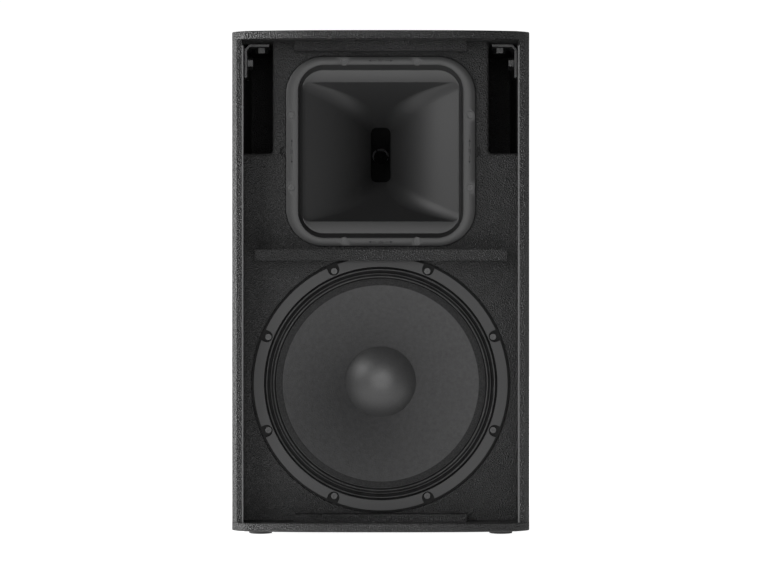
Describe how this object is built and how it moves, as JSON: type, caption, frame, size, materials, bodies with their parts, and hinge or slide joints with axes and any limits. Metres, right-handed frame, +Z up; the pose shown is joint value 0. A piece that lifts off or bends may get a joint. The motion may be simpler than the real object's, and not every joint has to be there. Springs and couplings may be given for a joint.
{
  "type": "pa speaker cabinet",
  "caption": "Two-way passive PA loudspeaker cabinet, grille off: large woofer below a square horn, corner ports, recessed handles and pole socket.",
  "frame": {"origin": "centre of the bounding box's base, on the floor under the feet", "axes": "+Z up, -Y out of the front of the cabinet, +X to the viewer's right when facing the front"},
  "size_m": [0.45, 0.46, 0.763],
  "materials": {
    "cabinet_coating": "black textured polyurea coating on birch plywood, fine pebbled grain",
    "bare_plywood": "raw birch plywood inside the box",
    "black_steel": "black powder-coated steel, satin",
    "black_fastener": "blackened steel fasteners, satin",
    "horn_plastic": "smooth satin black moulded horn",
    "foam": "closed-cell foam gasket",
    "cast_frame": "die-cast aluminium frame, black powder coat",
    "ferrite": "dark ferrite magnet",
    "zinc_steel": "zinc-plated steel motor parts",
    "cone_paper": "black pressed paper pulp, fibrous matte",
    "doped_cloth": "black doped cloth surround, slight sheen",
    "spider_cloth": "resin-treated woven cloth",
    "gasket_rubber": "satin black moulded rubber",
    "coil_former": "polyimide former, amber",
    "coil_wire": "enamelled copper winding",
    "titanium": "thin formed titanium dome",
    "foot_rubber": "solid black rubber",
    "black_plastic": "glass-filled black nylon",
    "circuit_board": "green glass-epoxy board",
    "capacitor": "dipped film capacitor",
    "resistor": "white cement resistor",
    "lead_jacket": "black PVC two-core lead",
    "label_white": "light grey switch knob"
  },
  "bodies": {
    "cabinet": {"base_screws": "black_fastener", "bottom_panel": "cabinet_coating", "cabinet_brace": "bare_plywood", "crossover_board": "circuit_board", "crossover_capacitors": "capacitor", "crossover_inductors": "coil_wire", "crossover_resistors": "resistor", "crossover_standoffs": "black_fastener", "front_baffle": "cabinet_coating", "grille_battens": "cabinet_coating", "grille_strips": "black_steel", "handle_screws": "black_fastener", "hf_driver_bolts": "black_fastener", "hf_lead": "lead_jacket", "hf_magnet": "ferrite", "hf_phase_plug": "black_plastic", "hf_pole_piece": "zinc_steel", "hf_rear_cover": "black_plastic", "hf_surround": "doped_cloth", "hf_top_plate": "zinc_steel", "horn": "horn_plastic", "horn_gasket": "foam", "horn_screws": "black_fastener", "input_lead": "lead_jacket", "input_plate": "black_steel", "input_plate_screws": "black_fastener", "input_sockets": "black_plastic", "left_handle": "black_plastic", "left_port_duct": "cabinet_coating", "left_rear_corner_panel": "cabinet_coating", "left_side_panel": "cabinet_coating", "lower_rigging_brackets": "black_steel", "mode_switch_body": "black_plastic", "pole_socket": "black_plastic", "rear_panel": "cabinet_coating", "rigging_nuts": "black_fastener", "right_handle": "black_plastic", "right_port_duct": "cabinet_coating", "right_rear_corner_panel": "cabinet_coating", "right_side_panel": "cabinet_coating", "rubber_feet": "foot_rubber", "top_panel": "cabinet_coating", "upper_rigging_brackets": "black_steel", "woofer_basket": "cast_frame", "woofer_bolts": "black_fastener", "woofer_gasket_ring": "gasket_rubber", "woofer_lead": "lead_jacket", "woofer_magnet": "ferrite", "woofer_spider": "spider_cloth", "woofer_surround": "doped_cloth", "woofer_terminal": "black_plastic", "woofer_top_plate": "zinc_steel", "woofer_yoke": "zinc_steel"},
    "cone_assembly": {"woofer_cone": "cone_paper", "dust_cap": "cone_paper", "voice_coil_former": "coil_former", "voice_coil_winding": "coil_wire"},
    "hf_diaphragm_assembly": {"hf_diaphragm": "titanium", "hf_voice_coil": "coil_wire"},
    "mode_switch": {"mode_switch_slider": "label_white"}
  },
  "joints": [
    {"name": "cone_excursion", "type": "slide", "parent": "cabinet", "child": "cone_assembly", "axis": [0, -1, 0], "range_m": [-0.008, 0.008], "stiffness_N_per_m": 6000, "deforming": ["woofer_surround", "woofer_spider"]},
    {"name": "hf_diaphragm_excursion", "type": "slide", "parent": "cabinet", "child": "hf_diaphragm_assembly", "axis": [0, -1, 0], "range_m": [-0.0004, 0.0004], "stiffness_N_per_m": 500, "deforming": ["hf_surround"]},
    {"name": "mode_switch_slide", "type": "slide", "parent": "cabinet", "child": "mode_switch", "axis": [1, 0, 0], "range_m": [0, 0.0072]}
  ]
}
